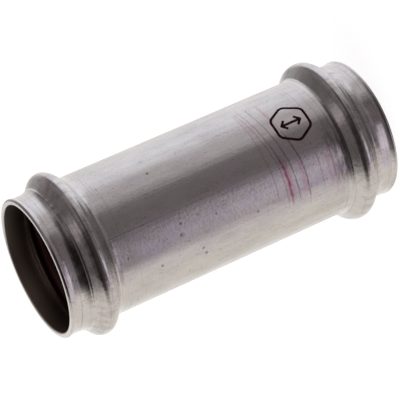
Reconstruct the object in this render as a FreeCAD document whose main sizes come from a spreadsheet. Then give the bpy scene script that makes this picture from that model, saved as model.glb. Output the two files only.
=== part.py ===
import FreeCAD, Part
import math
import os
import Sketcher
from FreeCAD import Vector

# Press coupling: a straight stainless sleeve that joins two pipe ends.
# Each end has a short guide collar, a rolled bead that holds a seal ring on its inside,
# and the plain barrel between the beads. The sleeve stands on one end, with its axis on Z.
# Lengths are in millimetres and angles in degrees.
# A depth is measured along the axis from the nearer end of the sleeve.

SIZES = {
    # The pipe, and the sleeve round it
    "pipe_diameter": 42.0,
    "pipe_clearance": 0.2,
    "wall": 1.5,
    "sleeve_length": 118.0,
    "barrel_step": 0.2,
    # The mouth: rounded edges and a lip that flares a little
    "mouth_round": 0.4,
    "lip_round": 0.7,
    "lip_rise": 0.32,
    "flare_depth": 2.6,
    # The bead: a rolled ring between two creases, with a narrow shelf at the foot of each flank
    "collar_end_depth": 4.2,
    "bead_depth": 12.25,
    "crease_rise": 0.65,
    "back_crease_rise": 0.45,
    "shelf": 0.55,
    "back_shelf": 0.3,
    "foot_round": 1.4,
    "flank_angle": 50.0,
    "groove_round": 1.65,
    "barrel_start_depth": 18.8,
    # The seal ring: it sits on both flanks of the groove, just clear of the pipe
    "seal_section": 4.0,
    "seal_pipe_gap": 0.15,
    "seal_clearance": 0.02,
}

doc = FreeCAD.newDocument("PressCoupling")
sheet = doc.addObject("Spreadsheet::Sheet", "Sizes")
for row, (name, value) in enumerate(SIZES.items(), start=1):
    sheet.set(f"A{row}", name)
    sheet.set(f"B{row}", str(value))
    sheet.setAlias(f"B{row}", name)
doc.recompute()

# Relations between the sizes, as the expressions that the model is bound to.
# Radii are from the axis, and heights from the middle of the sleeve.
GUIDE_RADIUS = "(Sizes.pipe_diameter / 2 + Sizes.pipe_clearance)"
COLLAR_RADIUS = f"({GUIDE_RADIUS} + Sizes.wall)"
BARREL_RADIUS = f"({COLLAR_RADIUS} + Sizes.barrel_step)"
CREASE_RADIUS = f"({COLLAR_RADIUS} + Sizes.crease_rise)"
BACK_CREASE_RADIUS = f"({COLLAR_RADIUS} + Sizes.back_crease_rise)"
LIP_CENTRE_RADIUS = f"({COLLAR_RADIUS} + Sizes.lip_rise - Sizes.lip_round)"
BEAD_ROUND = "(Sizes.groove_round + Sizes.wall)"
FOOT_INNER_ROUND = "(Sizes.foot_round + Sizes.wall)"
SEAL_RADIUS = "(Sizes.pipe_diameter / 2 + Sizes.seal_pipe_gap + Sizes.seal_section / 2)"
FLANK = "(Sizes.flank_angle * 1 deg)"
SEAL_TO_FLANK = "(Sizes.seal_section / 2 + Sizes.seal_clearance)"
BEAD_CENTRE_RADIUS = f"({SEAL_RADIUS} + ({SEAL_TO_FLANK} - Sizes.groove_round) / cos({FLANK}))"
CREASE_DROP = f"({BEAD_CENTRE_RADIUS} - {CREASE_RADIUS})"
BACK_CREASE_DROP = f"({BEAD_CENTRE_RADIUS} - {BACK_CREASE_RADIUS})"
CREASE_OFFSET = f"(({BEAD_ROUND} + {CREASE_DROP} * cos({FLANK})) / sin({FLANK}) + Sizes.shelf)"
BACK_CREASE_OFFSET = (
    f"(({BEAD_ROUND} + {BACK_CREASE_DROP} * cos({FLANK})) / sin({FLANK}) + Sizes.back_shelf)"
)
HALF_LENGTH = "(Sizes.sleeve_length / 2)"
BEAD_HEIGHT = f"({HALF_LENGTH} - Sizes.bead_depth)"


def number(relation):
    """What a relation comes to with the sizes now in the sheet."""
    return float(sheet.evalExpression(relation))


def arc_radius(rise, run):
    """Radius of an arc that leaves a straight line and stands off it by rise after run."""
    return (rise * rise + run * run) / (2 * rise)


class Section:
    """A closed sketch outline, made edge by edge, and its dimensions bound to the sheet."""

    ORIGIN = (-1, 1)
    CENTRE = 3

    def __init__(self, sketch):
        self.sketch = sketch
        self.edges = {}

    def line(self, name, first, last):
        """A straight edge. Where the last edge ended and this one starts is one point."""
        segment = Part.LineSegment(Vector(*first, 0), Vector(*last, 0))
        self.edges[name] = (self.sketch.addGeometry(segment), 1, 2)

    def arc(self, name, centre, radius, first_angle, last_angle):
        """A round edge from one angle to the other. The sketcher keeps it anticlockwise."""
        circle = Part.Circle(Vector(*centre, 0), Vector(0, 0, 1), radius)
        low, high = sorted((first_angle, last_angle))
        curve = Part.ArcOfCircle(circle, math.radians(low), math.radians(high))
        ends = (1, 2) if first_angle < last_angle else (2, 1)
        self.edges[name] = (self.sketch.addGeometry(curve), *ends)

    def start(self, name):
        return self.edges[name][0], self.edges[name][1]

    def end(self, name):
        return self.edges[name][0], self.edges[name][2]

    def centre(self, name):
        return self.edges[name][0], self.CENTRE

    def add(self, kind, *parts):
        """Add one constraint. Its parts are edge names, points and numbers."""
        flat = []
        for part in parts:
            if isinstance(part, str):
                flat.append(self.edges[part][0])
            elif isinstance(part, tuple):
                flat.extend(part)
            else:
                flat.append(part)
        return self.sketch.addConstraint(Sketcher.Constraint(kind, *flat))

    def close(self, corners):
        """Join each edge to the next, smoothly except at the named pairs' corners."""
        names = list(self.edges)
        for before, after in zip(names, names[1:] + names[:1]):
            kind = "Coincident" if (before, after) in corners else "Tangent"
            self.add(kind, self.end(before), self.start(after))

    def dimension(self, name, relation, kind, *parts):
        """Add a dimension and bind it to its relation."""
        index = self.add(kind, *parts, number(relation))
        self.sketch.renameConstraint(index, name)
        self.sketch.setExpression(f"Constraints.{name}", relation)

    def place(self, name, point, radius=None, height=None):
        """Give a point its radius from the axis, its height above the middle, or both."""
        if radius is not None:
            self.dimension(f"{name}_radius", radius, "DistanceX", self.ORIGIN, point)
        if height is not None:
            self.dimension(f"{name}_height", height, "DistanceY", self.ORIGIN, point)


def origin_plane(body, role):
    """One of the body's own origin planes."""
    return next(item for item in body.Origin.OriginFeatures if item.Role == role)


def wall_section(body):
    """Half of the sleeve's wall, cut along the axis: outside from the mouth, then inside."""
    sketch = body.newObject("Sketcher::SketchObject", "wall_section")
    sketch.AttachmentSupport = [(origin_plane(body, "XZ_Plane"), "")]
    sketch.MapMode = "FlatFace"
    section = Section(sketch)

    # Start places near the solution, which the constraints then settle
    end = number(HALF_LENGTH)
    guide = number(GUIDE_RADIUS)
    wall = number("Sizes.wall")
    collar = number(COLLAR_RADIUS)
    barrel = number(BARREL_RADIUS)
    crease = number(CREASE_RADIUS)
    back_crease = number(BACK_CREASE_RADIUS)
    mouth_round = number("Sizes.mouth_round")
    lip_round = number("Sizes.lip_round")
    lip_radius = number(LIP_CENTRE_RADIUS)
    flare_height = end - number("Sizes.flare_depth")
    collar_end = end - number("Sizes.collar_end_depth")
    barrel_start = end - number("Sizes.barrel_start_depth")
    bead = number(BEAD_HEIGHT)
    bead_radius = number(BEAD_CENTRE_RADIUS)
    bead_round = number(BEAD_ROUND)
    foot_round = number("Sizes.foot_round")
    flank = number("Sizes.flank_angle")
    crease_offset = number(CREASE_OFFSET)
    back_offset = number(BACK_CREASE_OFFSET)
    flare_round = arc_radius(number("Sizes.lip_rise"), end - lip_round - flare_height) - lip_round
    flare_turn = math.degrees(math.asin((end - lip_round - flare_height) / (flare_round + lip_round)))
    bend_round = arc_radius(crease - collar, collar_end - bead - crease_offset)
    bend_turn = math.degrees(math.asin((collar_end - bead - crease_offset) / bend_round))
    ramp_round = arc_radius(back_crease - barrel, bead - back_offset - barrel_start)
    ramp_turn = math.degrees(math.asin((bead - back_offset - barrel_start) / ramp_round))
    foot_turn = flank / 2
    foot_lean = math.radians(foot_turn)
    foot_radius = crease + foot_round * math.cos(foot_lean)
    foot_reach = crease_offset + foot_round * math.sin(foot_lean)
    back_foot_radius = back_crease + foot_round * math.cos(foot_lean)
    back_foot_reach = back_offset + foot_round * math.sin(foot_lean)

    def on_arc(radius, height, reach, angle):
        """The point at a distance and an angle from a centre."""
        lean = math.radians(angle)
        return radius + reach * math.cos(lean), height + reach * math.sin(lean)

    # Outside, from the mouth to the middle of the sleeve
    section.line("end_face", (guide + mouth_round, end), (lip_radius, end))
    section.arc("lip", (lip_radius, end - lip_round), lip_round, 90, -flare_turn)
    section.arc("flare", (collar + flare_round, flare_height), flare_round, 180 - flare_turn, 180)
    section.line("collar", (collar, flare_height), (collar, collar_end))
    section.arc("bend", (collar + bend_round, collar_end), bend_round, 180, 180 + bend_turn)
    section.arc("foot", (foot_radius, bead + foot_reach), foot_round, 180 + foot_turn, 180 + flank)
    section.line("flank", on_arc(foot_radius, bead + foot_reach, foot_round, 180 + flank),
                 on_arc(bead_radius, bead, bead_round, flank))
    section.arc("bead", (bead_radius, bead), bead_round, flank, -flank)
    section.line("back_flank", on_arc(bead_radius, bead, bead_round, -flank),
                 on_arc(back_foot_radius, bead - back_foot_reach, foot_round, 180 - flank))
    section.arc("back_foot", (back_foot_radius, bead - back_foot_reach), foot_round,
                180 - flank, 180 - foot_turn)
    section.arc("ramp", (barrel + ramp_round, barrel_start), ramp_round, 180 - ramp_turn, 180)
    section.line("barrel", (barrel, barrel_start), (barrel, 0))
    section.line("middle", (barrel, 0), (barrel - wall, 0))

    # Inside, from the middle back to the mouth
    section.line("bore", (barrel - wall, 0), (barrel - wall, barrel_start))
    section.arc("inner_ramp", (barrel + ramp_round, barrel_start), ramp_round + wall, 180, 180 - ramp_turn)
    section.arc("inner_back_foot", (back_foot_radius, bead - back_foot_reach), foot_round + wall,
                180 - foot_turn, 180 - flank)
    section.line("inner_back_flank",
                 on_arc(back_foot_radius, bead - back_foot_reach, foot_round + wall, 180 - flank),
                 on_arc(bead_radius, bead, bead_round - wall, -flank))
    section.arc("groove", (bead_radius, bead), bead_round - wall, -flank, flank)
    section.line("inner_flank", on_arc(bead_radius, bead, bead_round - wall, flank),
                 on_arc(foot_radius, bead + foot_reach, foot_round + wall, 180 + flank))
    section.arc("inner_foot", (foot_radius, bead + foot_reach), foot_round + wall,
                180 + flank, 180 + foot_turn)
    section.arc("inner_bend", (collar + bend_round, collar_end), bend_round + wall, 180 + bend_turn, 180)
    section.line("guide", (guide, collar_end), (guide, end - mouth_round))
    section.arc("mouth", (guide + mouth_round, end - mouth_round), mouth_round, 180, 90)

    # Every joint is smooth, apart from the creases and the cut at the middle
    section.close({
        ("bend", "foot"), ("back_foot", "ramp"), ("barrel", "middle"), ("middle", "bore"),
        ("inner_ramp", "inner_back_foot"), ("inner_foot", "inner_bend"),
    })
    for name in ("end_face", "middle"):
        section.add("Horizontal", name)
    for name in ("collar", "barrel", "bore", "guide"):
        section.add("Vertical", name)
    # The wall keeps its thickness round every bend, so both faces share a centre
    for outer, inner in (("bend", "inner_bend"), ("foot", "inner_foot"), ("bead", "groove"),
                         ("back_foot", "inner_back_foot"), ("ramp", "inner_ramp")):
        section.add("Coincident", section.centre(outer), section.centre(inner))

    section.place("end", section.start("end_face"), height=HALF_LENGTH)
    section.add("PointOnObject", section.start("middle"), -1)
    section.place("guide", section.start("guide"), radius=GUIDE_RADIUS)
    section.place("flare_end", section.start("collar"), COLLAR_RADIUS, f"{HALF_LENGTH} - Sizes.flare_depth")
    section.place("collar_end", section.end("collar"), height=f"{HALF_LENGTH} - Sizes.collar_end_depth")
    section.place("barrel_start", section.start("barrel"), BARREL_RADIUS,
                  f"{HALF_LENGTH} - Sizes.barrel_start_depth")
    section.place("bore", section.start("bore"), radius=f"{BARREL_RADIUS} - Sizes.wall")
    section.place("lip_centre", section.centre("lip"), radius=LIP_CENTRE_RADIUS)
    section.place("bead_centre", section.centre("bead"), BEAD_CENTRE_RADIUS, BEAD_HEIGHT)
    section.place("crease", section.end("bend"), CREASE_RADIUS, f"{BEAD_HEIGHT} + {CREASE_OFFSET}")
    section.place("back_crease", section.start("ramp"), BACK_CREASE_RADIUS,
                  f"{BEAD_HEIGHT} - {BACK_CREASE_OFFSET}")
    section.dimension("mouth_round", "Sizes.mouth_round", "Radius", "mouth")
    section.dimension("lip_round", "Sizes.lip_round", "Radius", "lip")
    section.dimension("bead_round", BEAD_ROUND, "Radius", "bead")
    section.dimension("groove_round", "Sizes.groove_round", "Radius", "groove")
    section.dimension("foot_round", "Sizes.foot_round", "Radius", "foot")
    section.dimension("back_foot_round", "Sizes.foot_round", "Radius", "back_foot")
    section.dimension("inner_foot_round", FOOT_INNER_ROUND, "Radius", "inner_foot")
    section.dimension("inner_back_foot_round", FOOT_INNER_ROUND, "Radius", "inner_back_foot")
    flank_reach = f"{BEAD_ROUND} * sin({FLANK})"
    section.dimension("flank_top", flank_reach, "DistanceY", section.centre("bead"), section.start("bead"))
    section.dimension("flank_bottom", flank_reach, "DistanceY", section.end("bead"), section.centre("bead"))
    return sketch


def make_sleeve():
    """The sleeve: half of it is turned from the wall section, and mirrored at its middle."""
    body = doc.addObject("PartDesign::Body", "sleeve")
    body.Label = "sleeve"
    sketch = wall_section(body)
    doc.recompute()
    half = body.newObject("PartDesign::Revolution", "half_sleeve")
    half.Profile = sketch
    half.ReferenceAxis = (sketch, ["V_Axis"])
    half.Angle = 360
    sketch.Visibility = False
    doc.recompute()
    whole = body.newObject("PartDesign::Mirrored", "whole_sleeve")
    whole.Originals = [half]
    whole.MirrorPlane = (origin_plane(body, "XY_Plane"), [""])
    body.Tip = whole
    body.setExpression("Placement.Base.z", HALF_LENGTH)
    return body


def make_seal_ring(name, height):
    """A seal ring of round section, in the groove behind a bead."""
    ring = doc.addObject("Part::Torus", name)
    ring.Label = name
    ring.setExpression("Radius1", SEAL_RADIUS)
    ring.setExpression("Radius2", "Sizes.seal_section / 2")
    ring.setExpression("Placement.Base.z", height)
    return ring


parts = [
    make_sleeve(),
    make_seal_ring("upper_seal_ring", "Sizes.sleeve_length - Sizes.bead_depth"),
    make_seal_ring("lower_seal_ring", "Sizes.bead_depth"),
]
doc.recompute()

for item in doc.Objects:
    if "Invalid" in item.State or "Error" in item.State:
        raise RuntimeError(f"{item.Label} could not be built: {item.State}")
for part in parts:
    if part.Shape.isNull() or not part.Shape.isValid():
        raise RuntimeError(f"{part.Label} has no valid shape")

os.makedirs("parts", exist_ok=True)
for part in parts:
    part.Shape.exportStep(f"parts/{part.Label}.step")
    box = part.Shape.BoundBox
    print(f"{part.Label}: {part.Shape.Volume:.1f} mm3, radius {box.XMax:.3f}, "
          f"z {box.ZMin:.3f} to {box.ZMax:.3f}")
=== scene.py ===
import math

import bpy
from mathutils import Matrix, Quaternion, Vector


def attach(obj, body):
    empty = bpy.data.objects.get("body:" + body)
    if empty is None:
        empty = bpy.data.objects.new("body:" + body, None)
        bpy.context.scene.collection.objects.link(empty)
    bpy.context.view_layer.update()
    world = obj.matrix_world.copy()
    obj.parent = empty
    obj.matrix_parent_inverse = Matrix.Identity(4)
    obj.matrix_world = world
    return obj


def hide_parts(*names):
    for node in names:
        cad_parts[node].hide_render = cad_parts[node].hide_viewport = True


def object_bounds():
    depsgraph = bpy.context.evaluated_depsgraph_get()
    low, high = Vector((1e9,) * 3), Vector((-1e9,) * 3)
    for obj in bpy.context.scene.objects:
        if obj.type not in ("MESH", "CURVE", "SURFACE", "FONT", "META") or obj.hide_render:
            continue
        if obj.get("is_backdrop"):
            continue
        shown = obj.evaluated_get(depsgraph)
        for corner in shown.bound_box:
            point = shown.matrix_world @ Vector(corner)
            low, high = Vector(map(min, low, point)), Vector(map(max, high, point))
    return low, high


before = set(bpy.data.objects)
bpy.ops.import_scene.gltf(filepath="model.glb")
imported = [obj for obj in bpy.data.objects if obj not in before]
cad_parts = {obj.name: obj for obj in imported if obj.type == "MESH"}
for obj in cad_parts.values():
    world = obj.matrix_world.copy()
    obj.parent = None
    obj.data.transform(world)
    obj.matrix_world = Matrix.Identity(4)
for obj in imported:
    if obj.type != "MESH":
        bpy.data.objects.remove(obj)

cad_low, cad_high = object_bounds()

# The view
# The coupling stands on one end. The camera looks a little down on it and is rolled,
# so that the standing sleeve lies across the picture with its upper mouth at the lower left.
CAMERA_DISTANCE = 0.7166
CAMERA_AZIMUTH = math.radians(8.66)
CAMERA_ELEVATION = math.radians(20.43)
CAMERA_ROLL = math.radians(-113.82)
CAMERA_AIM = Vector((-0.0009, 0.0002, 0.0598))
CAMERA_LENS = 205.3
CAMERA_SENSOR = 36.0
CAMERA_NEAREST = 0.01
CAMERA_FARTHEST = 20.0


def placed(name, data):
    """A new object of the scene that holds this data, at the origin."""
    made = bpy.data.objects.new(name, data)
    bpy.context.scene.collection.objects.link(made)
    return made


camera_data = bpy.data.cameras.new("camera")
camera_data.lens = CAMERA_LENS
camera_data.sensor_width = CAMERA_SENSOR
camera_data.clip_start = CAMERA_NEAREST
camera_data.clip_end = CAMERA_FARTHEST
camera = placed("camera", camera_data)
middle = (cad_low + cad_high) / 2
camera.location = middle + CAMERA_DISTANCE * Vector((
    math.sin(CAMERA_AZIMUTH) * math.cos(CAMERA_ELEVATION),
    -math.cos(CAMERA_AZIMUTH) * math.cos(CAMERA_ELEVATION),
    math.sin(CAMERA_ELEVATION),
))
looking = (CAMERA_AIM - camera.location).to_track_quat("-Z", "Y")
camera.rotation_mode = "QUATERNION"
camera.rotation_quaternion = looking @ Quaternion((0, 0, 1), CAMERA_ROLL)
bpy.context.scene.camera = camera

# The studio
# A bright soft panel hangs above the lying sleeve of the picture and a white table is under it.
# A lilac sheet and a dark room are behind the camera. All are painted on the world, by direction.
WHITE = (1, 1, 1, 1)
ROOM_GREY = (0.161, 0.146, 0.149)
# Each panel has the azimuth of its middle (from +Y towards +X), its half width, its lowest and
# highest elevation and how soft its edge is, all in degrees, and its strength and its tint.
# A later panel covers an earlier one.
STUDIO_PANELS = {
    "side wall": (82, 67, 7, 34, 11, 0.20, (1.16, 1.0, 1.02)),
    "soft panel": (55, 45, -57, -3, 8, 0.98, (1.0, 1.0, 1.055)),
    "panel rim": (113, 24, -49, 3, 22, 0.52, (1.08, 1.0, 1.02)),
    "white table": (282, 50, -62, 56, 15, 0.80, (1.05, 1.0, 0.92)),
    "table glare": (355, 40, -34, 9, 18, 0.99, (1.02, 1.0, 0.98)),
    "bounce wall": (13, 23, -6, 25, 22, 0.39, (1.02, 1.0, 1.0)),
    "backdrop": (343, 15, 6, 36, 7, 1.00, (1.0, 1.0, 1.0)),
    "ceiling light": (108, 28, 65, 79, 7, 0.38, (1.14, 1.0, 1.08)),
    "dark room": (201, 51, 6, 66, 20, 0.03, (1.3, 1.0, 1.0)),
    "lilac sheet": (200, 58, -44, -22, 8, 0.62, (1.14, 1.0, 1.14)),
    "room corner": (162, 34, -46, -10, 12, 0.12, (1.2, 1.0, 1.05)),
    "dark doorway": (157, 46, 0, 16, 11, 0.02, (1.3, 1.0, 1.0)),
    "lilac glare": (202, 21, -28, -23, 5, 0.90, (1.10, 1.0, 1.13)),
}


class Wire:
    """A socket of a node tree. Python's operators on it add the tree's Math nodes."""

    def __init__(self, tree, socket=None):
        self.tree = tree
        self.socket = socket

    def node(self, kind, settings=None, inputs=None, output=0):
        """Add a node of any kind: its settings first, then the values or wires of its sockets."""
        made = self.tree.nodes.new(kind)
        for name, value in (settings or {}).items():
            setattr(made, name, value)
        for key, value in (inputs or {}).items():
            if isinstance(value, Wire):
                self.tree.links.new(value.socket, made.inputs[key])
            else:
                made.inputs[key].default_value = value
        return Wire(self.tree, made.outputs[output] if made.outputs else None)

    def math(self, operation, first, second=None):
        inputs = {0: first} if second is None else {0: first, 1: second}
        return self.node("ShaderNodeMath", {"operation": operation}, inputs)

    def __add__(self, other):
        return self.math("ADD", self, other)

    def __radd__(self, other):
        return self.math("ADD", other, self)

    def __sub__(self, other):
        return self.math("SUBTRACT", self, other)

    def __rsub__(self, other):
        return self.math("SUBTRACT", other, self)

    def __mul__(self, other):
        return self.math("MULTIPLY", self, other)

    def __rmul__(self, other):
        return self.math("MULTIPLY", other, self)

    def __truediv__(self, other):
        return self.math("DIVIDE", self, other)

    def __rtruediv__(self, other):
        return self.math("DIVIDE", other, self)

    def part(self, axis):
        """One number of a vector: 0, 1 or 2 for X, Y or Z."""
        return self.node("ShaderNodeSeparateXYZ", inputs={0: self}, output=axis)

    def times(self, share):
        """A vector with its numbers multiplied one by one."""
        return self.node("ShaderNodeVectorMath", {"operation": "MULTIPLY"}, {0: self, 1: share})

    def dot(self, other):
        """The dot product of two vectors."""
        operation = {"operation": "DOT_PRODUCT"}
        return self.node("ShaderNodeVectorMath", operation, {0: self, 1: other}, output="Value")

    def between(self, low, high, start=0.0, end=1.0):
        """Goes smoothly from start to end as this number goes from low to high."""
        return self.node(
            "ShaderNodeMapRange",
            {"interpolation_type": "SMOOTHSTEP"},
            {"Value": self, "From Min": low, "From Max": high, "To Min": start, "To Max": end},
        )

    def fading(self, full, gone, share=1.0):
        """The share up to full, going smoothly down to 0 at gone."""
        return self.between(full, gone, share, 0)

    def within(self, begins, full, fades, gone):
        """1 from full to fades, going smoothly down to 0 at begins and at gone."""
        return self.between(begins, full) * self.fading(fades, gone)

    def near(self, middle, full, gone, share=1.0):
        """The share out to full on both sides of the middle, going smoothly down to 0 at gone."""
        away = self - middle
        return away.math("ABSOLUTE", away).fading(full, gone, share)

    def cloud(self, per_metre, detail=2.0, rough=0.5, squeeze=(1, 1, 1)):
        """A cloudy pattern of 0 to 1 at this place, with so many clouds in a metre."""
        place = self.times(squeeze)
        settings = {"Vector": place, "Scale": per_metre, "Detail": detail, "Roughness": rough}
        return self.node("ShaderNodeTexNoise", inputs=settings)

    def blend(self, colour, over):
        """This number, as a mask, lays a colour over another one."""
        return self.node("ShaderNodeMix", {"data_type": "RGBA"}, {0: self, 6: over, 7: colour}, output=2)

    def bumped(self):
        """The normal of a surface that has this number, in metres, as its relief."""
        return self.node("ShaderNodeBump", inputs={"Strength": 1.0, "Distance": 1.0, "Height": self})


world = bpy.data.worlds.new("studio")
world.use_nodes = True
bpy.context.scene.world = world
world.node_tree.nodes.clear()
studio = Wire(world.node_tree)
towards = studio.node("ShaderNodeTexCoord", output="Generated")
flat = towards.times((1, 1, 0))
level = flat.node("ShaderNodeVectorMath", {"operation": "NORMALIZE"}, {0: flat})
elevation = towards.math("ARCSINE", towards.part(2))
light = (*ROOM_GREY, 1)
for azimuth, half_width, low, high, soft, strength, tint in STUDIO_PANELS.values():
    turn = math.radians(azimuth)
    facing = level.dot((math.sin(turn), math.cos(turn), 0))
    aside = facing.math("ARCCOSINE", facing)
    across = aside.fading(math.radians(half_width - soft), math.radians(half_width + soft))
    above = elevation.between(math.radians(low - soft), math.radians(low + soft))
    below = elevation.fading(math.radians(high - soft), math.radians(high + soft))
    colour = tuple(strength * share for share in tint)
    light = (across * above * below).blend((*colour, 1), light)
lit = light.node("ShaderNodeBackground", inputs={"Color": light, "Strength": 1.0})
white = light.node("ShaderNodeBackground", inputs={"Color": WHITE, "Strength": 1.0})
seen = light.node("ShaderNodeLightPath", output="Is Camera Ray")
shown = light.node("ShaderNodeMixShader", inputs={0: seen, 1: lit, 2: white})
light.node("ShaderNodeOutputWorld", inputs={"Surface": shown})

# The floor
# A wide pale floor. It glows enough to be white to the eye, and keeps a faint soft shadow.
# The metal sees the studio through it.
FLOOR_HALF = 6.0
FLOOR_GLOW = 0.86
FLOOR_PALE = (0.8, 0.8, 0.8, 1)


def blank_material(name):
    """A material with an empty tree, and a wire to build the tree from."""
    made = bpy.data.materials.new(name)
    made.use_nodes = True
    made.node_tree.nodes.clear()
    return made, Wire(made.node_tree)


floor_mesh = bpy.data.meshes.new("floor")
floor_mesh.from_pydata(
    [(-FLOOR_HALF, -FLOOR_HALF, 0), (FLOOR_HALF, -FLOOR_HALF, 0),
     (FLOOR_HALF, FLOOR_HALF, 0), (-FLOOR_HALF, FLOOR_HALF, 0)], [], [(0, 1, 2, 3)])
floor = placed("floor", floor_mesh)
floor_paint, paint = blank_material("floor_paint")
matt = paint.node("ShaderNodeBsdfDiffuse", inputs={"Color": FLOOR_PALE})
glow = paint.node("ShaderNodeEmission", inputs={"Color": WHITE, "Strength": FLOOR_GLOW})
visible = paint.node("ShaderNodeAddShader", inputs={0: matt, 1: glow})
clear = paint.node("ShaderNodeBsdfTransparent")
in_metal = paint.node("ShaderNodeLightPath", output="Is Glossy Ray")
surface = paint.node("ShaderNodeMixShader", inputs={0: in_metal, 1: visible, 2: clear})
paint.node("ShaderNodeOutputMaterial", inputs={"Surface": surface})
floor_mesh.materials.append(floor_paint)
floor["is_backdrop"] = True

# The sleeve
# One stainless tube. Each end is pressed into a guide collar with a flared lip, and a bead
# is rolled behind it between two creases. It is pickled satin and has fine drawing lines.
PIPE_RADIUS = 0.021
PIPE_CLEARANCE = 0.0002
WALL = 0.0015
BARREL_STEP = 0.0002
MOUTH_ROUND = 0.0004
LIP_ROUND = 0.0007
LIP_RISE = 0.00032
FLARE_DEPTH = 0.0026
COLLAR_END_DEPTH = 0.0042
BEAD_DEPTH = 0.01225
CREASE_RISE = 0.00065
BACK_CREASE_RISE = 0.00045
SHELF = 0.00055
BACK_SHELF = 0.0003
FOOT_ROUND = 0.0014
FLANK = math.radians(50)
GROOVE_ROUND = 0.00165
BARREL_START_DEPTH = 0.0188
SEAL_SECTION = 0.004
SEAL_PIPE_GAP = 0.00015
SEAL_CLEARANCE = 0.00002
CREASE_LINE_HEIGHT = 0.00003
CREASE_LINE_WIDTH = 0.00018
ARC_STEP = math.radians(4)
LINE_STEP = 0.00025
SLEEVE_TURNS = 224
PATH_RADIUS = 0.02

guide = PIPE_RADIUS + PIPE_CLEARANCE
collar = guide + WALL
barrel = collar + BARREL_STEP
crease = collar + CREASE_RISE
back_crease = collar + BACK_CREASE_RISE
bead_round = GROOVE_ROUND + WALL
seal_radius = PIPE_RADIUS + SEAL_PIPE_GAP + SEAL_SECTION / 2
bead_radius = seal_radius + (SEAL_SECTION / 2 + SEAL_CLEARANCE - GROOVE_ROUND) / math.cos(FLANK)
flank_run = math.cos(FLANK) / math.sin(FLANK)
crease_offset = bead_round / math.sin(FLANK) + (bead_radius - crease) * flank_run + SHELF
back_offset = bead_round / math.sin(FLANK) + (bead_radius - back_crease) * flank_run + BACK_SHELF
sleeve_top = cad_high.z


def arc(radius, depth, reach, first, last):
    """Points of an arc about a centre. Angle 0 points outwards, and a right angle at the end."""
    steps = max(2, math.ceil(abs(last - first) / ARC_STEP))
    turns = (first + (last - first) * step / steps for step in range(steps + 1))
    return [(radius + reach * math.cos(turn), depth - reach * math.sin(turn)) for turn in turns]


def standing_arc(rise, run):
    """Radius and turn of an arc that leaves a straight wall and stands off it by rise after run."""
    reach = (rise * rise + run * run) / (2 * rise)
    return reach, math.asin(run / reach)


def foot_centre(radius, offset):
    """Centre and turn of a foot's arc, which leaves the flank smoothly and ends at its crease."""
    across = Vector((math.cos(FLANK), math.sin(FLANK)))
    along = Vector((-math.sin(FLANK), math.cos(FLANK)))
    crease_point = Vector((radius - bead_radius, offset))
    gap = (bead_round + FOOT_ROUND) * across - crease_point
    slide = -gap.dot(along) - math.sqrt(gap.dot(along) ** 2 - gap.dot(gap) + FOOT_ROUND ** 2)
    centre = (bead_round + FOOT_ROUND) * across + slide * along
    return bead_radius + centre.x, centre.y, math.atan2(centre.y - offset, centre.x - crease_point.x)


def wall_end():
    """The outer and the inner face of one end of the wall, as radius and depth from the end."""
    flare_reach, flare_turn = standing_arc(LIP_RISE, FLARE_DEPTH - LIP_ROUND)
    flare_reach -= LIP_ROUND
    bend_reach, bend_turn = standing_arc(CREASE_RISE, BEAD_DEPTH - crease_offset - COLLAR_END_DEPTH)
    ramp_reach, ramp_turn = standing_arc(
        back_crease - barrel, BARREL_START_DEPTH - BEAD_DEPTH - back_offset)
    foot, foot_offset, foot_turn = foot_centre(crease, crease_offset)
    back_foot, back_foot_offset, back_foot_turn = foot_centre(back_crease, back_offset)
    foot_depth = BEAD_DEPTH - foot_offset
    back_foot_depth = BEAD_DEPTH + back_foot_offset
    bend = (collar + bend_reach, COLLAR_END_DEPTH)
    ramp = (barrel + ramp_reach, BARREL_START_DEPTH)
    half_turn = math.pi
    outer = (
        arc(collar + LIP_RISE - LIP_ROUND, LIP_ROUND, LIP_ROUND, half_turn / 2, -flare_turn)
        + arc(collar + flare_reach, FLARE_DEPTH, flare_reach, half_turn - flare_turn, half_turn)[1:]
        + arc(*bend, bend_reach, half_turn, half_turn + bend_turn)
        + arc(foot, foot_depth, FOOT_ROUND, half_turn + foot_turn, half_turn + FLANK)[1:]
        + arc(bead_radius, BEAD_DEPTH, bead_round, FLANK, -FLANK)
        + arc(back_foot, back_foot_depth, FOOT_ROUND, half_turn - FLANK, half_turn - back_foot_turn)
        + arc(*ramp, ramp_reach, half_turn - ramp_turn, half_turn)[1:]
    )
    inner = (
        arc(guide + MOUTH_ROUND, MOUTH_ROUND, MOUTH_ROUND, half_turn / 2, half_turn)
        + arc(*bend, bend_reach + WALL, half_turn, half_turn + bend_turn)
        + arc(foot, foot_depth, FOOT_ROUND + WALL, half_turn + foot_turn, half_turn + FLANK)[1:]
        + arc(bead_radius, BEAD_DEPTH, GROOVE_ROUND, FLANK, -FLANK)
        + arc(back_foot, back_foot_depth, FOOT_ROUND + WALL,
              half_turn - FLANK, half_turn - back_foot_turn)
        + arc(*ramp, ramp_reach + WALL, half_turn - ramp_turn, half_turn)[1:]
    )
    return outer, inner


def finer(points):
    """The same outline with its long steps split, so that the crease lines show."""
    out = []
    for (r1, d1), (r2, d2) in zip(points, points[1:]):
        steps = max(1, round(math.hypot(r2 - r1, d2 - d1) / LINE_STEP))
        out += [(r1 + (r2 - r1) * step / steps, d1 + (d2 - d1) * step / steps) for step in range(steps)]
    return out + [points[-1]]


def with_crease_lines(points):
    """Raise the fine line that the rolling tool leaves along each crease."""
    out = []
    for radius, depth in points:
        away = min(abs(depth - BEAD_DEPTH + crease_offset), abs(depth - BEAD_DEPTH - back_offset))
        out.append((radius + CREASE_LINE_HEIGHT * math.exp(-(away / CREASE_LINE_WIDTH) ** 2), depth))
    return out


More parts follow.
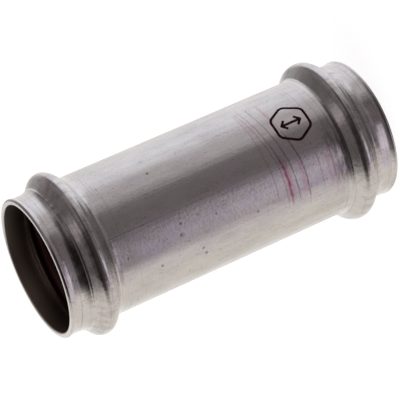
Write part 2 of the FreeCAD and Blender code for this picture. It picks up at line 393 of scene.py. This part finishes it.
outer_end, inner_end = wall_end()
outer_end = with_crease_lines(finer(outer_end))
outline = (
    [(radius, sleeve_top - depth) for radius, depth in outer_end]
    + [(radius, depth) for radius, depth in reversed(outer_end)]
    + [(radius, depth) for radius, depth in inner_end]
    + [(radius, sleeve_top - depth) for radius, depth in reversed(inner_end)]
)
# A section swept round a ring has its X pointing outwards and its Y pointing down
section_mesh = bpy.data.meshes.new("sleeve_section")
section_mesh.from_pydata(
    [(radius - PATH_RADIUS, -height, 0) for radius, height in outline],
    [(index, (index + 1) % len(outline)) for index in range(len(outline))], [])
sleeve = placed("dressed_sleeve", section_mesh)

# The metal is laid on in layers, from the clean steel up to the pen strokes, and the numbers of
# each layer stand over it. Depth from the top, height and distance from the nearer end are in
# millimetres, and turn goes round the axis from +X towards -Y, in degrees. A pattern has its
# clouds in a metre, their detail and roughness, and a squeeze along X, Y and Z, where a number
# under 1 draws it out. Levels are where in the clouds a thing begins to show and shows in full.
# A zone begins at its first number, is full from the second to the third and ends at the fourth.
MILLIMETRES = 1000

steel, metal = blank_material("pickled_stainless")
where = metal.node("ShaderNodeTexCoord", output="Object")
height = where.part(2) * MILLIMETRES
depth = sleeve_top * MILLIMETRES - height
from_end = height.math("MINIMUM", height, depth)
turn = where.math("ARCTAN2", 0 - where.part(1), where.part(0)) * math.degrees(1)

# Steel with drawing lines along it, the fine grain of the pickling, and dull patches and stains.
# Both ends are burnished by the tool that forms them. A band on one side has scuffs, and painted
# shade darkens it, most near the top, where its reflection is darker.
CLEAN_STEEL = (0.68, 0.662, 0.650, 1)
DULL_AND_SHADED_STEEL = (0.47, 0.450, 0.442, 1)
DRAWING_LINES = (1300, 4, 0.6, (1, 1, 0.02))
GRAIN = (2600, 2)
PATCHES = (130, 5, 0.6, (1, 1, 0.45))
STAINS = (420, 4, 0.6, (1, 1, 0.35))
BURNISHED_UP_TO = (17.5, 20.5)
SCUFF_AND_PAINTED_BAND_TURNS = (78, 88, 106, 114)
PAINTED_BAND_SHADE_DOWN_TO = (22, 44)
DULLNESS = 0.38
DULL_PATCHES = 0.9
DULL_STAINS = 0.6
DULL_GRAIN = 0.8
DULL_LINES = 0.35
PAINTED_BAND_SHADE = 0.55
BURNISHED_CLEAN = 0.15

drawn = where.cloud(*DRAWING_LINES)
grain = where.cloud(*GRAIN)
patches = where.cloud(*PATCHES)
stains = where.cloud(*STAINS)
burnished = from_end.fading(*BURNISHED_UP_TO)
scuffs_and_painted_band = turn.within(*SCUFF_AND_PAINTED_BAND_TURNS)
unburnished = 1 - burnished
dullness_and_band_shade = DULLNESS + (patches - 0.5) * DULL_PATCHES + (stains - 0.5) * DULL_STAINS
dullness_and_band_shade = dullness_and_band_shade + (grain - 0.5) * DULL_GRAIN + (drawn - 0.5) * unburnished * DULL_LINES
dullness_and_band_shade = dullness_and_band_shade - burnished * BURNISHED_CLEAN
# Painted shade: the side band is darkened, most near the top, as its reflection is darker there
dullness_and_band_shade = dullness_and_band_shade + scuffs_and_painted_band * unburnished * depth.fading(*PAINTED_BAND_SHADE_DOWN_TO, PAINTED_BAND_SHADE)
colour = dullness_and_band_shade.between(0, 1).blend(DULL_AND_SHADED_STEEL, CLEAN_STEEL)

# Clouds of a lilac heat tint, and small brown flecks, more of both in the scuffed side band,
# where the added lilac is a painted reflection
LILAC_TINT_AND_REFLECTION = (0.58, 0.54, 0.62, 1)
LILAC_CLOUDS = (210, 3, 0.5, (1, 1, 0.5))
LILAC_LEVELS = (0.42, 0.72)
LILAC_STRENGTH = 0.22
PAINTED_LILAC_REFLECTION = 0.5
FLECK_BROWN = (0.20, 0.15, 0.17, 1)
FLECKS = (1500, 3, 0.5, (1, 1, 0.7))
FLECK_LEVELS = (0.58, 0.68)
FLECK_STAIN_LEVELS = (0.38, 0.60)
FLECK_STRENGTH = 0.3
FLECK_SCUFFED = 0.15

# Lilac heat tint in clouds, raised in the side band as a painted reflection
lilac_tint_and_reflection = where.cloud(*LILAC_CLOUDS).between(*LILAC_LEVELS, 0, LILAC_STRENGTH + scuffs_and_painted_band * PAINTED_LILAC_REFLECTION)
colour = lilac_tint_and_reflection.blend(LILAC_TINT_AND_REFLECTION, colour)
flecks = where.cloud(*FLECKS).between(*FLECK_LEVELS) * stains.between(*FLECK_STAIN_LEVELS)
colour = (flecks * (FLECK_STRENGTH + scuffs_and_painted_band * FLECK_SCUFFED)).blend(FLECK_BROWN, colour)

# One long fine scratch down the sleeve from the upper bead
SCRATCH_TURN = 83.2
SCRATCH_REACH = 0.7
SCRATCH_DEPTHS = (16, 20, 52, 64)
SCRATCH_STRENGTH = 0.4

scratch = turn.near(SCRATCH_TURN, 0, SCRATCH_REACH) * depth.within(*SCRATCH_DEPTHS)
colour = (scratch * SCRATCH_STRENGTH).blend(FLECK_BROWN, colour)

# Lines that the rolling tool leaves round the sleeve beside each bead, and brown mottling on the
# collars and the beads, which hands have touched
# The colour of the rolling lines and smears, and also of the painted shade in the corners below
BEAD_DIRT_AND_SHADE = (0.15, 0.12, 0.12, 1)
SMEAR_BROWN = (0.30, 0.205, 0.225, 1)
ROLLING_LINES = (1900, 3, 0.6, (0.02, 0.02, 1))
ROLLING_LEVELS = (0.52, 0.72)
ROLLING_UP_TO = (17.2, 30)
ROLLING_STRENGTH = 0.35
MOTTLED_AT = 10.5
MOTTLED_REACH = (3, 6.5)
MOTTLING_LEVELS = (0.42, 0.70)
MOTTLING_STRENGTH = 0.3

rolled = where.cloud(*ROLLING_LINES)
by_bead = from_end.fading(*ROLLING_UP_TO)
colour = (rolled.between(*ROLLING_LEVELS) * by_bead * ROLLING_STRENGTH).blend(BEAD_DIRT_AND_SHADE, colour)
mottled = from_end.near(MOTTLED_AT, *MOTTLED_REACH) * stains.between(*MOTTLING_LEVELS)
colour = (mottled * MOTTLING_STRENGTH).blend(SMEAR_BROWN, colour)

# Painted shade in the corners of the ends: on the upper lip, in the upper bend, over the upper crease
# line and on the upper bead, each on part of the way round. Each has its middle, how far it is full to
# each side, where it is gone, its strength and the turns of its zone. The ramps have it at both ends of
# the sleeve. The stain clouds mottle it.
BEND_SHADE_TURNS = (64, 80, 105, 115)
UPPER_CORNER_SHADES = [
    (0.35, 0.15, 0.4, 0.9, BEND_SHADE_TURNS),
    (5.95, 1.0, 1.6, 1.0, BEND_SHADE_TURNS),
    (7.4, 0.15, 0.5, 1.0, (12, 24, 52, 64)),
    (10.1, 0.3, 0.9, 0.75, BEND_SHADE_TURNS),
]
RAMP_SHADE = (18.1, 0.3, 1.1, 0.6)
RAMP_SHADE_TURNS = (78, 90, 110, 126)
SHADE_MOTTLE_LEVELS = (0.30, 0.65)
SHADE_MOTTLE_LEAST = 0.6
PAINTED_SHADE_STRENGTH = 0.95

# Painted shade in the ramps and in the upper corners
painted_corner_shade = from_end.near(*RAMP_SHADE) * turn.within(*RAMP_SHADE_TURNS)
for middle, full, gone, strength, zone in UPPER_CORNER_SHADES:
    painted_corner_shade = painted_corner_shade + depth.near(middle, full, gone, strength) * turn.within(*zone)
painted_corner_shade = painted_corner_shade * stains.between(*SHADE_MOTTLE_LEVELS, SHADE_MOTTLE_LEAST, 1)
colour = (painted_corner_shade * PAINTED_SHADE_STRENGTH).blend(BEAD_DIRT_AND_SHADE, colour)

# Smears beside the lower bead
SMEARS = (1100, 4, 0.65, (0.25, 0.25, 1))
SMEAR_LEVELS = (0.34, 0.60)
SMEAR_LEAST = 0.15
SMEAR_HEIGHTS = (16.6, 18.6, 19.2, 26)
SMEAR_TURNS = (52, 90, 110, 124)
SMEAR_STRENGTH = 0.8

smears = where.cloud(*SMEARS).between(*SMEAR_LEVELS, SMEAR_LEAST, 1)
smears = smears * height.within(*SMEAR_HEIGHTS) * turn.within(*SMEAR_TURNS)
colour = (smears * SMEAR_STRENGTH).blend(BEAD_DIRT_AND_SHADE, colour)

# Small pits: the depth and the turn of each, its width and how many times longer than wide it is.
# Its soft edge reaches a little past the width.
PIT_BROWN = (0.14, 0.10, 0.10, 1)
PIT_EDGE = 1.1
PIT_STRENGTH = 0.7
PITS = [
    (21.5, 102.5, 0.60, 1.0), (29.2, 83.0, 0.45, 3.2), (31.9, 120.5, 0.70, 1.0), (38.8, 47.0, 0.80, 1.0),
    (40.0, 102.5, 0.95, 1.0), (40.9, 93.8, 0.70, 1.0), (46.4, 121.0, 0.65, 1.0), (47.2, 126.8, 0.80, 1.0),
    (52.9, 98.0, 0.50, 1.0), (66.5, 110.5, 0.70, 1.0),
]

millimetres_a_degree = math.radians(1) * barrel * MILLIMETRES
pitted = None
for pit_depth, pit_turn, width, stretch in PITS:
    along = (depth - pit_depth) / stretch
    around = (turn - pit_turn) * millimetres_a_degree
    apart = along * along + around * around
    pit = apart.math("SQRT", apart).fading(0, width * PIT_EDGE)
    pitted = pit if pitted is None else pitted.math("MAXIMUM", pitted, pit)
colour = (pitted * PIT_STRENGTH).blend(PIT_BROWN, colour)

# Pen strokes round the sleeve: the depth where each starts, how far it runs down as it goes round,
# its first and last turn, its width, its strength and its colour. The pen wanders a little, skips,
# and presses harder as it goes round.
PEN_RED = (0.30, 0.035, 0.075, 1)
PEN_PINK = (0.50, 0.20, 0.30, 1)
PEN_BROWN = (0.13, 0.055, 0.07, 1)
PEN_STROKES = [
    (77.3, 2.0, 78, 114, 2.60, 0.55, PEN_PINK),
    (74.8, 2.0, 24, 58, 1.80, 0.40, PEN_PINK),
    (82.6, 3.2, 24, 46, 1.40, 0.35, PEN_PINK),
    (82.0, 2.6, 82, 116, 1.60, 0.35, PEN_PINK),
    (74.0, 0.5, 26, 112, 0.36, 0.40, PEN_BROWN),
    (75.0, 2.7, 24, 118, 0.34, 0.45, PEN_BROWN),
    (76.3, 2.8, 22, 118, 0.42, 0.65, PEN_BROWN),
    (76.3, 2.9, 80, 118, 0.90, 0.45, PEN_RED),
    (77.6, 1.6, 84, 114, 0.50, 0.35, PEN_RED),
    (78.8, 3.0, 25, 117, 0.40, 0.75, PEN_BROWN),
    (82.4, 3.1, 25, 80, 0.40, 0.60, PEN_RED),
    (82.4, 3.1, 60, 120, 0.42, 0.75, PEN_BROWN),
    (90.6, 0.2, 84, 116, 0.40, 0.35, PEN_BROWN),
    (93.4, 0.3, 86, 118, 1.00, 0.30, PEN_PINK),
    (95.2, 0.3, 80, 118, 0.60, 0.35, PEN_RED),
]
PEN_SLOPE_TURNS = (25, 100)
PEN_LEAD = 4
PEN_TAIL = 3
PEN_FADE = 6
PEN_WOBBLES = (260, 3)
PEN_WANDER = 0.7
PEN_SKIPS = (700, 4, 0.6)
PEN_SKIP_LEVELS = (0.22, 0.62)
PEN_SKIP_LEAST = 0.25
PEN_PRESSED_TURNS = (40, 90)
PEN_PRESSED_LEAST = 0.55

wobble = (where.cloud(*PEN_WOBBLES) - 0.5) * PEN_WANDER
skipping = where.cloud(*PEN_SKIPS).between(*PEN_SKIP_LEVELS, PEN_SKIP_LEAST, 1)
pressed = turn.between(*PEN_PRESSED_TURNS, PEN_PRESSED_LEAST, 1)
for first_depth, run, first_turn, last_turn, width, strength, tint in PEN_STROKES:
    stroke_depth = turn.between(*PEN_SLOPE_TURNS, first_depth, first_depth + run)
    zone = (first_turn - PEN_LEAD, first_turn + PEN_FADE, last_turn - PEN_FADE, last_turn + PEN_TAIL)
    stroke = (depth + wobble).near(stroke_depth, 0, width) * turn.within(*zone)
    colour = (stroke * skipping * pressed * strength).blend(tint, colour)

# Inside, where the surface faces the axis, the steel is painted darker as shade, deepest in the bore,
# and painted lighter in the mouths
LIT_MOUTH_STEEL = (0.72, 0.66, 0.60, 1)
SHADED_BORE_STEEL = (0.39, 0.335, 0.295, 1)
MOUTH_LIGHT_DEPTHS = (0.5, 6)
INSIDE_EDGE = 0.002

normal = where.node("ShaderNodeNewGeometry", output="Normal")
inside = normal.dot(where.times((1, 1, 0))).fading(-INSIDE_EDGE, INSIDE_EDGE)
# Painted shade in the bore, going over to painted light in the mouths
painted_bore_shade = from_end.fading(*MOUTH_LIGHT_DEPTHS).blend(LIT_MOUTH_STEEL, SHADED_BORE_STEEL)
colour = inside.blend(painted_bore_shade, colour)

# The satin finish: shinier on the burnished ends, rougher inside and in the pits
SATIN_ROUGHNESS = 0.18
PATCH_ROUGHNESS = 0.06
STAIN_ROUGHNESS = 0.05
BURNISHED_SHINE = 0.09
INSIDE_ROUGHNESS = 0.2
PIT_ROUGHNESS = 0.3

roughness = SATIN_ROUGHNESS + patches * PATCH_ROUGHNESS + stains * STAIN_ROUGHNESS
roughness = roughness - burnished * BURNISHED_SHINE + inside * INSIDE_ROUGHNESS + pitted * PIT_ROUGHNESS

# The relief, in metres: long waves from the drawing, an orange peel that is rougher where it is
# scuffed, and the lines, grain and pits of the layers above
WAVES = (350, 2, 0.5, (1, 1, 0.03))
WAVE_HEIGHT = 0.00008
ORANGE_PEEL = (1050, 2, 0.5, (1, 1, 0.8))
PEEL_HEIGHT = 0.000016
PEEL_SCUFFED = 0.5
DRAWING_LINE_HEIGHT = 0.000012
GRAIN_HEIGHT = 0.000013
ROLLING_LINE_HEIGHT = 0.000016
PIT_DEPTH = 0.00003

peel = where.cloud(*ORANGE_PEEL) * (1 + scuffs_and_painted_band * PEEL_SCUFFED)
relief = where.cloud(*WAVES) * WAVE_HEIGHT + drawn * DRAWING_LINE_HEIGHT + peel * PEEL_HEIGHT
relief = relief + grain * GRAIN_HEIGHT + rolled * by_bead * ROLLING_LINE_HEIGHT
relief = relief - pitted * PIT_DEPTH
body = metal.node("ShaderNodeBsdfPrincipled", inputs={
    "Base Color": colour,
    "Metallic": 1.0,
    "Roughness": roughness,
    "Normal": relief.bumped(),
})
metal.node("ShaderNodeOutputMaterial", inputs={"Surface": body})


class Growth:
    """A Geometry Nodes tree with named inputs, which grows a mesh from the object's own."""

    def __init__(self, name):
        self.tree = bpy.data.node_groups.new(name, "GeometryNodeTree")
        self.tree.interface.new_socket("Geometry", in_out="INPUT", socket_type="NodeSocketGeometry")
        self.tree.interface.new_socket("Geometry", in_out="OUTPUT", socket_type="NodeSocketGeometry")
        self.entry = self.tree.nodes.new("NodeGroupInput")
        self.seed = Wire(self.tree, self.entry.outputs["Geometry"])
        self.values = {}

    def ask(self, name, value):
        """Add a named input to the tree. Its value is set on the modifier."""
        kind = "NodeSocketInt" if isinstance(value, int) else "NodeSocketFloat"
        socket = self.tree.interface.new_socket(name, in_out="INPUT", socket_type=kind)
        self.values[socket.identifier] = value
        return Wire(self.tree, self.entry.outputs[name])

    def grow(self, thing, geometry, material):
        """End the tree, run it on the object and leave the object with the plain mesh."""
        real = geometry.node("GeometryNodeRealizeInstances", inputs={0: geometry})
        dressed = real.node("GeometryNodeSetMaterial", inputs={0: real, "Material": material})
        dressed.node("NodeGroupOutput", inputs={0: dressed})
        modifier = thing.modifiers.new(self.tree.name, "NODES")
        modifier.node_group = self.tree
        for identifier, value in self.values.items():
            modifier[identifier] = value
        evaluated = thing.evaluated_get(bpy.context.evaluated_depsgraph_get())
        mesh = bpy.data.meshes.new_from_object(evaluated)
        thing.modifiers.clear()
        thing.data = mesh


rolling = Growth("section_rolled_round")
turns = rolling.ask("Turns", SLEEVE_TURNS)
path_radius = rolling.ask("Path radius", PATH_RADIUS)
section = rolling.seed.node("GeometryNodeMeshToCurve", inputs={0: rolling.seed})
ring_size = {"Resolution": turns, "Radius": path_radius}
ring = section.node("GeometryNodeCurvePrimitiveCircle", inputs=ring_size)
ring = ring.node("GeometryNodeSetCurveNormal", {"mode": "Z_UP"}, {0: ring})
swept = ring.node("GeometryNodeCurveToMesh", inputs={0: ring, 1: section})
swept = swept.node("GeometryNodeSetShadeSmooth", inputs={0: swept})
rolling.grow(sleeve, swept, steel)

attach(sleeve, "root")
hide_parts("sleeve")

# The ink mark
# A generic mark rolled onto the barrel in dark red ink: a rounded hexagon with a plain
# two-headed arrow, for a sleeve that goes on either way round. The ink is a thin film.
MARK_HEIGHT = 0.0298
MARK_TURN = math.radians(56)
MARK_REACH = 0.0066
MARK_ROUND = 0.0022
MARK_ROUND_STEPS = 8
ARROW_REACH = 0.0034
ARROW_HEAD = 0.0016
INK_STROKE = 0.00085
INK_FILM = 0.00002
INK_SINK = 0.00001
INK_LAYER = 0.000003
INK_WOBBLE = 0.00012
INK_WOBBLES_PER_METRE = 1600.0
INK_WOBBLE_DETAIL = 2.0
INK_STEP = 0.0001
INK_DARK = (0.007, 0.0006, 0.001, 1)
INK_THIN = (0.040, 0.004, 0.007, 1)
INK_CLOUDS = (1400, 4, 0.6)
INK_LEVELS = (0.25, 0.7)
INK_RELIEF = 0.00001
INK_ROUGHNESS = 0.55
THICK_INK_SHINE = 0.12
INK_GLOSS = 0.05
HEXAGON_TURN = math.radians(60)

# The mark laid flat: X runs round the barrel and Y along it
corners = [step * HEXAGON_TURN for step in range(6)]
strokes = [[(MARK_REACH * math.cos(corner), MARK_REACH * math.sin(corner)) for corner in corners]]
strokes.append([(0, -ARROW_REACH), (0, ARROW_REACH)])
for tip in (-ARROW_REACH, ARROW_REACH):
    tail = tip - math.copysign(ARROW_HEAD, tip)
    strokes.append([(-ARROW_HEAD, tail), (0, tip), (ARROW_HEAD, tail)])

# Each stroke lies a hair higher than the one before, so that no two share a face where they cross
mark_points = []
mark_lines = []
for layer, stroke in enumerate(strokes):
    first = len(mark_points)
    last = first + len(stroke) - 1
    mark_points += [(x, y, layer * INK_LAYER) for x, y in stroke]
    mark_lines += [(index, index + 1) for index in range(first, last)]
    if layer == 0:
        mark_lines.append((last, first))
mark_mesh = bpy.data.meshes.new("mark_strokes")
mark_mesh.from_pydata(mark_points, mark_lines, [])
mark = placed("ink_mark", mark_mesh)

ink, film = blank_material("marking_ink")
place = film.node("ShaderNodeTexCoord", output="Object")
thick = place.cloud(*INK_CLOUDS).between(*INK_LEVELS)
coat = film.node("ShaderNodeBsdfPrincipled", inputs={
    "Base Color": thick.blend(INK_DARK, INK_THIN),
    "Roughness": INK_ROUGHNESS - thick * THICK_INK_SHINE,
    "Specular IOR Level": INK_GLOSS,
    "Normal": (thick * INK_RELIEF).bumped(),
})
film.node("ShaderNodeOutputMaterial", inputs={"Surface": coat})

printing = Growth("strokes_rolled_onto_the_barrel")
stroke_width = printing.ask("Stroke width", INK_STROKE)
film_height = printing.ask("Film height", INK_FILM + INK_SINK)
film_base = printing.ask("Film base radius", barrel - INK_SINK)
corner_round = printing.ask("Corner round", MARK_ROUND)
corner_steps = printing.ask("Corner steps", MARK_ROUND_STEPS)
ink_step = printing.ask("Step", INK_STEP)
ink_wobble = printing.ask("Edge wobble", INK_WOBBLE)
mark_height = printing.ask("Mark height", MARK_HEIGHT)
mark_turn = printing.ask("Mark turn", MARK_TURN)
lines = printing.seed.node("GeometryNodeMeshToCurve", inputs={0: printing.seed})
is_outline = lines.node("GeometryNodeInputSplineCyclic")
corner_round = corner_round * is_outline
rounding = {0: lines, "Count": corner_steps, "Radius": corner_round}
lines = lines.node("GeometryNodeFilletCurve", {"mode": "POLY"}, rounding)
lines = lines.node("GeometryNodeResampleCurve", {"mode": "LENGTH"}, {0: lines, "Length": ink_step})
lines = lines.node("GeometryNodeSetCurveNormal", {"mode": "Z_UP"}, {0: lines})
nib_size = {"Width": stroke_width, "Height": film_height}
nib = lines.node("GeometryNodeCurvePrimitiveQuadrilateral", inputs=nib_size)
strips = lines.node("GeometryNodeCurveToMesh", inputs={0: lines, 1: nib, "Fill Caps": True})
flat_place = strips.node("GeometryNodeInputPosition")
noise = {"Vector": flat_place, "Scale": INK_WOBBLES_PER_METRE, "Detail": INK_WOBBLE_DETAIL}
ragged = flat_place.node("ShaderNodeTexNoise", inputs=noise, output="Color")
across = flat_place.part(0) + (ragged.part(0) - 0.5) * ink_wobble
along = flat_place.part(1) + (ragged.part(1) - 0.5) * ink_wobble
out = film_base + film_height * 0.5 + flat_place.part(2)
angle = mark_turn - across / film_base
wrapped = angle.node("ShaderNodeCombineXYZ", inputs={
    0: out * angle.math("COSINE", angle),
    1: 0 - out * angle.math("SINE", angle),
    2: mark_height + along,
})
strips = strips.node("GeometryNodeSetPosition", inputs={0: strips, "Position": wrapped})
printing.grow(mark, strips, ink)

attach(mark, "root")

# The seal rings
# Two moulded rubber rings of round section, dark red and smooth. Each is pushed into the
# groove behind its bead and stays there by its own spring.
RUBBER_RED = (0.095, 0.010, 0.011, 1)
RUBBER_BLOOM = (0.135, 0.028, 0.027, 1)
RUBBER_ROUGHNESS = 0.38
BLOOM_ROUGHNESS = 0.2
PORE_ROUGHNESS = 0.06
BLOOM_CLOUDS = (450, 5, 0.6)
BLOOM_LEVELS = (0.4, 0.75)
PORES = (5200, 2)
MOULD_LINES = (600, 2, 0.5, (1, 1, 6))
PORE_HEIGHT = 0.000006
MOULD_LINE_HEIGHT = 0.00001

rubber, mould = blank_material("seal_rubber")
in_rubber = mould.node("ShaderNodeTexCoord", output="Object")
bloom = in_rubber.cloud(*BLOOM_CLOUDS).between(*BLOOM_LEVELS)
pores = in_rubber.cloud(*PORES)
moulded = in_rubber.cloud(*MOULD_LINES)
dimples = pores * PORE_HEIGHT + moulded * MOULD_LINE_HEIGHT
skin = mould.node("ShaderNodeBsdfPrincipled", inputs={
    "Base Color": bloom.blend(RUBBER_BLOOM, RUBBER_RED),
    "Roughness": RUBBER_ROUGHNESS + bloom * BLOOM_ROUGHNESS + pores * PORE_ROUGHNESS,
    "Normal": dimples.bumped(),
})
mould.node("ShaderNodeOutputMaterial", inputs={"Surface": skin})
for name in ("upper_seal_ring", "lower_seal_ring"):
    seal_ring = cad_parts[name]
    seal_ring.data.materials.clear()
    seal_ring.data.materials.append(rubber)

# Colours are shown as they are, and the box of the dressed part is measured again
bpy.context.scene.view_settings.view_transform = "Standard"
low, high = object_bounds()
